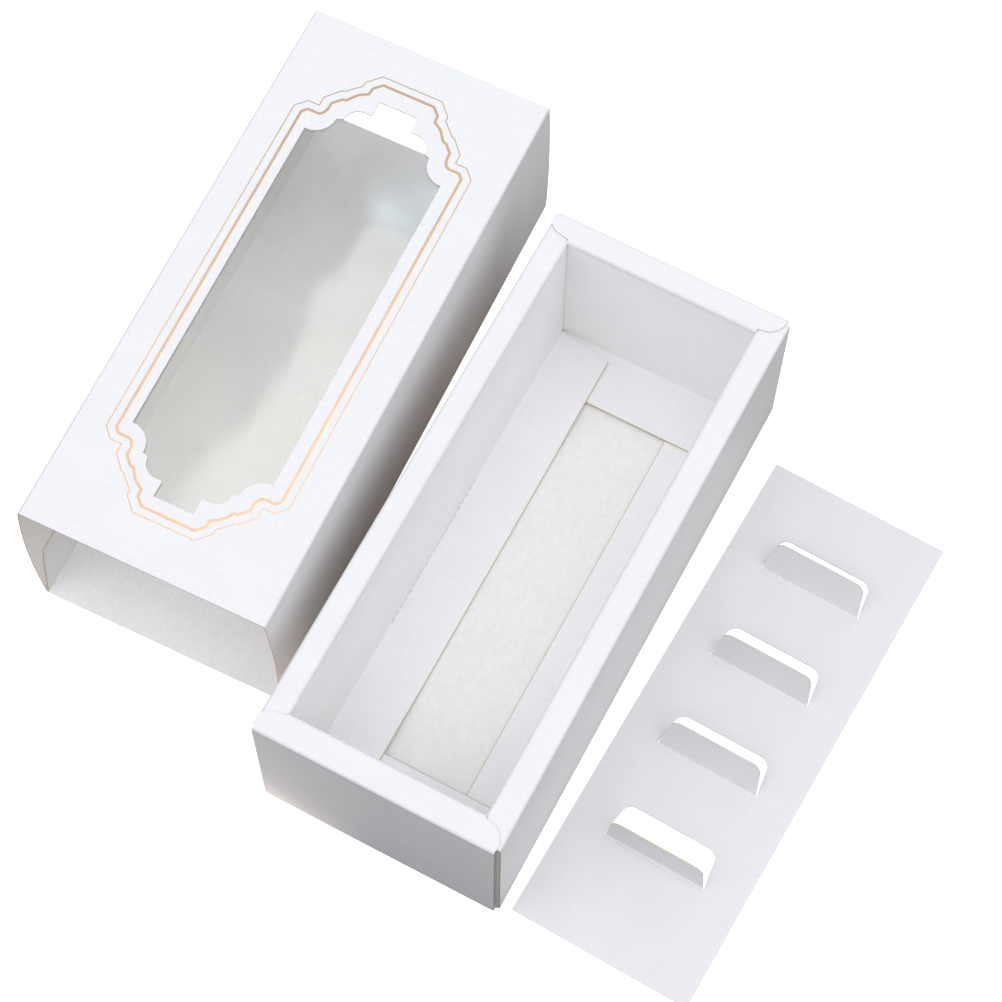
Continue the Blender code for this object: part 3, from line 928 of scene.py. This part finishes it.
def make_bead(name, y, materials):
    """The low ridge that the creasing rule leaves on the near side of a fold."""
    sink = CARD / 2 - BEAD_SINK
    half = TAB_HALF_WIDTH - BEAD_INSET
    section = [(y - BEAD_WIDTH / 2, sink)]
    for i in range(BEAD_PARTS + 1):
        angle = pi - pi * i / BEAD_PARTS
        section.append((y + BEAD_WIDTH / 2 * cos(angle), CARD / 2 + BEAD_HEIGHT * sin(angle)))
    section.append((y + BEAD_WIDTH / 2, sink))
    count = len(section)
    points = [(TAB_ROW_MIDDLE[0] + x, y, z) for x in (-half, half) for y, z in section]
    faces = [tuple(range(count)), tuple(range(2 * count - 1, count - 1, -1))]
    faces += ring_faces(count)
    return card_object(name, points, faces, [FRONT] * len(faces), materials)


def build_insert(materials):
    """A flat card with its slots cut, and its tabs and beads joined to it."""
    half_x, half_y = INSERT_WIDTH / 2, INSERT_LENGTH / 2
    outline = [(-half_x, -half_y), (half_x, -half_y), (half_x, half_y), (-half_x, half_y)]
    insert = prism("insert_card", outline, -CARD / 2, CARD / 2, materials)
    tools = []
    for i, fold_y in enumerate(tab_folds()):
        tools.append(("DIFFERENCE", make_slot(f"slot_{i}", fold_y, materials)))
    for i, (fold_y, bend) in enumerate(zip(tab_folds(), TAB_BENDS)):
        tools.append(("UNION", make_tab(f"tab_{i}", fold_y, bend, materials)))
    for i, fold_y in enumerate(tab_folds()):
        tools.append(("UNION", make_bead(f"bead_{i}", fold_y - BEAD_FROM_FOLD, materials)))
    combine(insert, tools)
    place = Matrix.Translation((*INSERT_PLACE, CARD / 2))
    insert.matrix_world = place @ Matrix.Rotation(INSERT_YAW, 4, "Z")
    soften(insert)
    return insert


# Film

def film_folds(x, y, folds):
    width, lean, length, place = folds
    return noise.noise(Vector((x / width + y / lean, y / length, place)))


def film_wave(x, y):
    """How far the film stands off its plane: a few long soft folds and some small ones."""
    long_part = (1 - SMALL_FOLD_SHARE) * film_folds(x, y, LONG_FOLDS)
    return FILM_WAVE * (long_part + SMALL_FOLD_SHARE * film_folds(x, y, SMALL_FOLDS))


def build_film(made):
    """A thin clear sheet behind the window, slightly wavy."""
    top = SLEEVE_HEIGHT - FOIL_HEIGHT - CARD - FILM_GAP
    half_x = WINDOW_HALF_WIDTH + FILM_MARGIN
    half_y = WINDOW_HALF_LENGTH + FILM_MARGIN
    across, along = FILM_COLUMNS, FILM_ROWS
    points = []
    for j in range(along + 1):
        for i in range(across + 1):
            x = WINDOW_MIDDLE[0] + half_x * (2 * i / across - 1)
            y = WINDOW_MIDDLE[1] + half_y * (2 * j / along - 1)
            z = top + film_wave(x, y) - FILM_WAVE
            points += [(x, y, z - FILM), (x, y, z)]
    row = across + 1
    faces = []
    for j in range(along):
        for i in range(across):
            corners = [j * row + i, j * row + i + 1, (j + 1) * row + i + 1, (j + 1) * row + i]
            faces += [[2 * c for c in corners], [2 * c + 1 for c in reversed(corners)]]
    border = list(range(across)) + [j * row + across for j in range(along)]
    border += [along * row + i for i in range(across, 0, -1)] + [j * row for j in range(along, 0, -1)]
    for a, b in zip(border, border[1:] + border[:1]):
        faces.append((2 * a, 2 * b, 2 * b + 1, 2 * a + 1))
    film = card_object("film", points, faces, [0] * len(faces), [made])
    soften(film)
    return film


# Camera, light and floor

def build_camera():
    """The photo's view."""
    data = bpy.data.cameras.new("camera")
    data.sensor_width = SENSOR
    data.lens = FOCAL_PIXELS / IMAGE_SIDE * SENSOR
    data.clip_start, data.clip_end = CLIP
    camera = bpy.data.objects.new("camera", data)
    bpy.context.scene.collection.objects.link(camera)
    back = -Vector(CAMERA_FORWARD).normalized()
    up = back.cross(Vector(CAMERA_RIGHT)).normalized()
    right = up.cross(back)
    turn = Matrix((right, up, back)).transposed()
    camera.matrix_world = Matrix.Translation(CAMERA_PLACE) @ turn.to_4x4()
    bpy.context.scene.camera = camera


def direction(azimuth, elevation):
    """The unit vector towards a part of the sky."""
    return (cos(azimuth) * cos(elevation), sin(azimuth) * cos(elevation), sin(elevation))


def facing(tree, place, towards, front_only=True):
    """How far a direction of the sky faces this one, as the cosine between them."""
    cosine = vector_step(tree, "DOT_PRODUCT", place.outputs["Generated"], towards).outputs["Value"]
    return number(tree, "MAXIMUM", cosine, 0.0) if front_only else cosine


def scaled(tree, colour, factor):
    """A constant colour times a number from the tree."""
    made = tree.nodes.new("ShaderNodeVectorMath")
    made.operation = "SCALE"
    made.inputs[0].default_value = colour
    tree.links.new(factor, made.inputs["Scale"])
    return made.outputs[0]


def lobe(tree, place, towards, power):
    """Light that is strongest in one direction; a higher power makes it narrower."""
    return number(tree, "POWER", facing(tree, place, towards), power)


def build_world():
    """A soft studio: broad lobes that fade into each other, and what the film mirrors."""
    world = bpy.data.worlds.new("studio")
    world.use_nodes = True
    tree = world.node_tree
    place = tree.nodes.new("ShaderNodeTexCoord")
    lights = []
    for azimuth, elevation, colour in LIGHTS:
        lights.append(scaled(tree, colour, lobe(tree, place, direction(azimuth, elevation), LOBE_POWER)))
    box = lobe(tree, place, SOFTBOX_MIDDLE, SOFTBOX_POWER)
    for edge in SOFTBOX_EDGES:
        inside = tree.nodes.new("ShaderNodeMapRange")
        inside.interpolation_type = "SMOOTHSTEP"
        inside.inputs["From Min"].default_value = -SOFTBOX_BLUR
        inside.inputs["From Max"].default_value = SOFTBOX_BLUR
        tree.links.new(facing(tree, place, edge, False), inside.inputs["Value"])
        box = number(tree, "MULTIPLY", box, inside.outputs["Result"])
    lights.append(scaled(tree, SOFTBOX_COLOUR, box))
    for middle, power, colour in GLINTS:
        lights.append(scaled(tree, colour, lobe(tree, place, middle, power)))
    total = lights[0]
    for light in lights[1:]:
        total = vector_step(tree, "ADD", total, light).outputs[0]
    tree.links.new(total, tree.nodes["Background"].inputs["Color"])
    scene = bpy.context.scene
    scene.world = world
    scene.view_settings.view_transform = "Standard"


def floor_plane(name, height, made):
    """A large square of the stage at this height."""
    mesh = bpy.data.meshes.new(name)
    signs = ((-1, -1), (1, -1), (1, 1), (-1, 1))
    corners = [(i * FLOOR_HALF, j * FLOOR_HALF, height) for i, j in signs]
    mesh.from_pydata(corners, [], [(0, 1, 2, 3)])
    mesh.materials.append(made)
    plane = bpy.data.objects.new(name, mesh)
    bpy.context.scene.collection.objects.link(plane)
    return plane


def patch(tree, place, middle, reach, colour):
    """A colour that fades to black between two distances from a point."""
    away = vector_step(tree, "DISTANCE", place.outputs["Object"], middle).outputs["Value"]
    return ramp(tree, away, colour, BLACK, *reach)


def build_floor():
    """A floor that glows white and lights nothing, over an unseen one that gives the bounced light."""
    pale, _, shader = material("pale_floor", FLOOR_WHITE, FLOOR_ROUGHNESS)
    shader.inputs["Emission Color"].default_value = (*PURE_WHITE, 1.0)
    shader.inputs["Emission Strength"].default_value = 1.0
    seen = floor_plane("floor", -FLOOR_DROP, pale)
    seen.visible_diffuse = seen.visible_glossy = seen.visible_shadow = False
    dull, tree, shader = material("dull_floor", FLOOR_BOUNCE, FLOOR_ROUGHNESS)
    place = tree.nodes.new("ShaderNodeTexCoord")
    before = None
    # Painted pools of light and a painted shadow, blended into the unseen floor's colour
    for middle, reach, colour in FLOOR_PAINTED_LIGHT_AND_SHADOW:
        mixed = tree.nodes.new("ShaderNodeMixRGB")
        mixed.inputs["Color1"].default_value = (*FLOOR_BOUNCE, 1.0)
        mixed.inputs["Color2"].default_value = (*colour, 1.0)
        tree.links.new(patch(tree, place, middle, reach, PURE_WHITE), mixed.inputs["Fac"])
        if before:
            tree.links.new(before, mixed.inputs["Color1"])
        before = mixed.outputs["Color"]
    tree.links.new(before, shader.inputs["Base Color"])
    middle, reach, colour = GAP_GLOW
    tree.links.new(patch(tree, place, middle, reach, colour), shader.inputs["Emission Color"])
    shader.inputs["Emission Strength"].default_value = 1.0
    for made in (pale, dull):
        made.cycles.emission_sampling = "NONE"
    floor_plane("floor_bounce", -BOUNCE_DROP, dull).visible_camera = False


def add(piece, slot, *nodes):
    """Puts a piece on the body and hides the solids it stands for; the slot is not used."""
    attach(piece, "root")
    if nodes:
        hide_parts(*nodes)


def main():
    build_camera()
    build_world()
    build_floor()
    rim_height = TRAY_HEIGHT - 2 * TRAY_FOLD
    back = card_material("plain_card", PLAIN_BACK, roughness=0.75, grain=1.2)
    edge = edge_material("cut_edge", CUT_EDGE)
    sleeve_card = card_material("sleeve_card", SLEEVE_WHITE, roughness=0.5, grain=1.0)
    tray_card = card_material("tray_card", TRAY_WHITE, roughness=0.5, grain=0.7, rim_height=rim_height)
    insert_card = card_material("insert_card", INSERT_WHITE, roughness=0.6, grain=0.6)
    foil = foil_material()
    add(build_sleeve([sleeve_card, back, edge]), "sleeve_card", "sleeve")
    add(build_foil("foil_thick", THICK_QUARTER, THICK_FOIL, foil), None)
    add(build_foil("foil_thin", THIN_QUARTER, THIN_FOIL, foil), None)
    add(build_tray([tray_card, back, edge]), "tray_card", "tray")
    add(build_insert([insert_card, back, edge]), "insert_card", "insert")
    add(build_film(film_material()), "clear_film", "window_film")


main()
